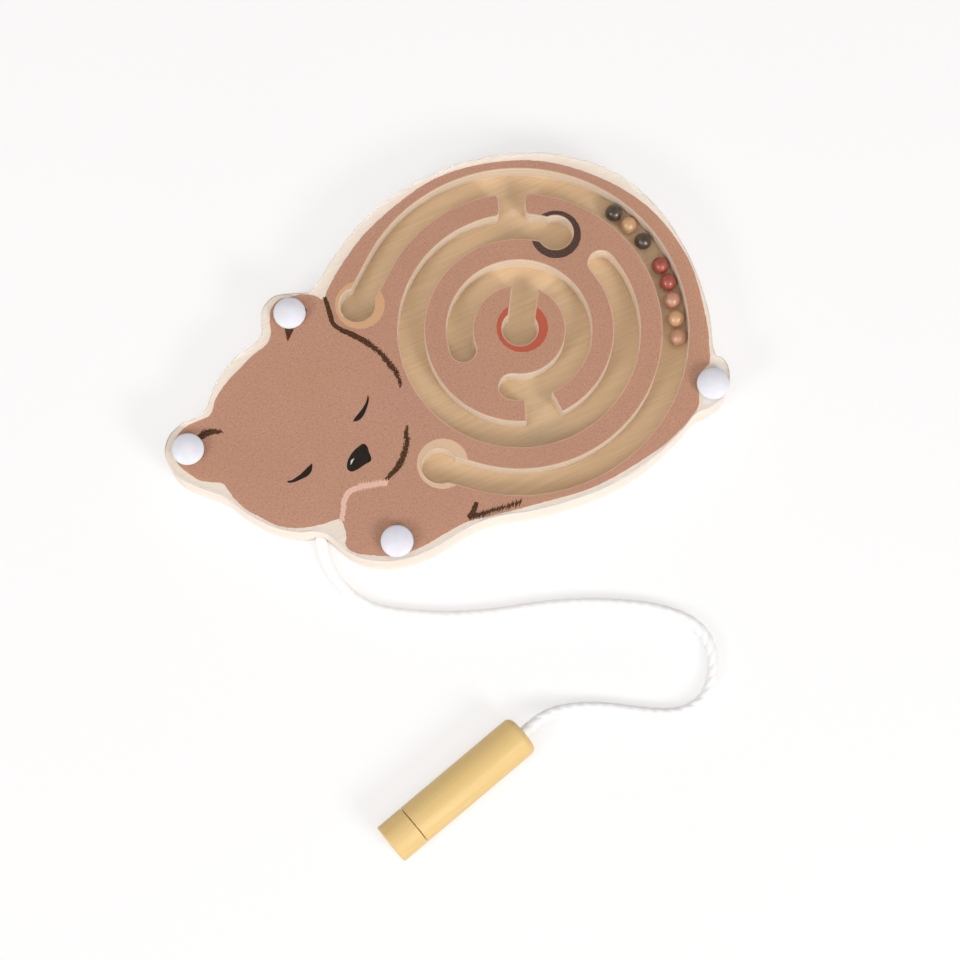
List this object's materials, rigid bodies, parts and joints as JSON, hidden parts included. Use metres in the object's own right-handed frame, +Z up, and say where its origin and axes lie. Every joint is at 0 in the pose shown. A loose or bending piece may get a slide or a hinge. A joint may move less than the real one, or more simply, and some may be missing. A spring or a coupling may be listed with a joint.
{
  "type": "magnetic maze board",
  "caption": "Flat wooden maze board in the outline of a sleeping bear: a magnet wand on a cord pulls painted balls along channels under a clear cover.",
  "frame": {"origin": "under the centre of the maze, on the face that the board rests on", "axes": "+X along the bear towards its tail, +Y towards its back, +Z up out of the cover"},
  "size_m": [0.2004, 0.2191, 0.0211],
  "materials": {
    "plywood": "sanded, clear lacquer",
    "printed_plywood": "matt print on sanded plywood",
    "clear_sheet": "clear, polished",
    "white_plastic": "satin moulded",
    "bead_dark": "gloss paint",
    "bead_tan": "gloss paint",
    "bead_red": "gloss paint",
    "bead_pink": "gloss paint",
    "bead_brown": "gloss paint",
    "cotton": "twisted cotton",
    "wand_wood": "turned, clear lacquer",
    "plated_magnet": "nickel plate"
  },
  "bodies": {
    "board": {"base_panel": "plywood", "maze_panel": "printed_plywood", "clear_cover": "clear_sheet", "rivet_stud_ear_back": "white_plastic", "rivet_socket_ear_back": "white_plastic", "rivet_stud_ear_front": "white_plastic", "rivet_socket_ear_front": "white_plastic", "rivet_stud_paw": "white_plastic", "rivet_socket_paw": "white_plastic", "rivet_stud_tail": "white_plastic", "rivet_socket_tail": "white_plastic", "cord_knot": "cotton"},
    "bead_1": {"bead_1": "bead_dark"},
    "bead_2": {"bead_2": "bead_tan"},
    "bead_3": {"bead_3": "bead_dark"},
    "bead_4": {"bead_4": "bead_red"},
    "bead_5": {"bead_5": "bead_red"},
    "bead_6": {"bead_6": "bead_pink"},
    "bead_7": {"bead_7": "bead_tan"},
    "bead_8": {"bead_8": "bead_brown"},
    "cord": {"cord": "cotton"},
    "wand": {"wand_body": "wand_wood", "wand_tip": "wand_wood", "wand_magnet": "plated_magnet"}
  },
  "joints": [
    {"name": "bead_1_roll", "type": "hinge", "parent": "board", "child": "bead_1", "pos_m": [0, 0, 0.01075], "axis": [0, 0, 1], "range_deg": [-14.5, 118]},
    {"name": "bead_2_roll", "type": "hinge", "parent": "bead_1", "child": "bead_2", "pos_m": [0, 0, 0.01075], "axis": [0, 0, 1], "range_deg": [-14.5, 0.55]},
    {"name": "bead_3_roll", "type": "hinge", "parent": "bead_2", "child": "bead_3", "pos_m": [0, 0, 0.01075], "axis": [0, 0, 1], "range_deg": [-14.5, 1.6]},
    {"name": "bead_4_roll", "type": "hinge", "parent": "bead_3", "child": "bead_4", "pos_m": [0, 0, 0.01075], "axis": [0, 0, 1], "range_deg": [-14.5, 4.6]},
    {"name": "bead_5_roll", "type": "hinge", "parent": "bead_4", "child": "bead_5", "pos_m": [0, 0, 0.01075], "axis": [0, 0, 1], "range_deg": [-14.5, 0.38]},
    {"name": "bead_6_roll", "type": "hinge", "parent": "bead_5", "child": "bead_6", "pos_m": [0, 0, 0.01075], "axis": [0, 0, 1], "range_deg": [-14.5, 0.47]},
    {"name": "bead_7_roll", "type": "hinge", "parent": "bead_6", "child": "bead_7", "pos_m": [0, 0, 0.01075], "axis": [0, 0, 1], "range_deg": [-14.5, 0.7]},
    {"name": "bead_8_roll", "type": "hinge", "parent": "bead_7", "child": "bead_8", "pos_m": [0, 0, 0.01075], "axis": [0, 0, 1], "range_deg": [-14.5, 0.55]},
    {"name": "cord_swing", "type": "hinge", "parent": "board", "child": "cord", "pos_m": [-0.0951, -0.0369, 0.00375], "axis": [0, 0, 1], "range_deg": [-70, 12], "deforming": ["cord"]},
    {"name": "wand_lift", "type": "slide", "parent": "cord", "child": "wand", "axis": [0, 0, 1], "range_m": [0, 0.04], "deforming": ["cord"]}
  ]
}
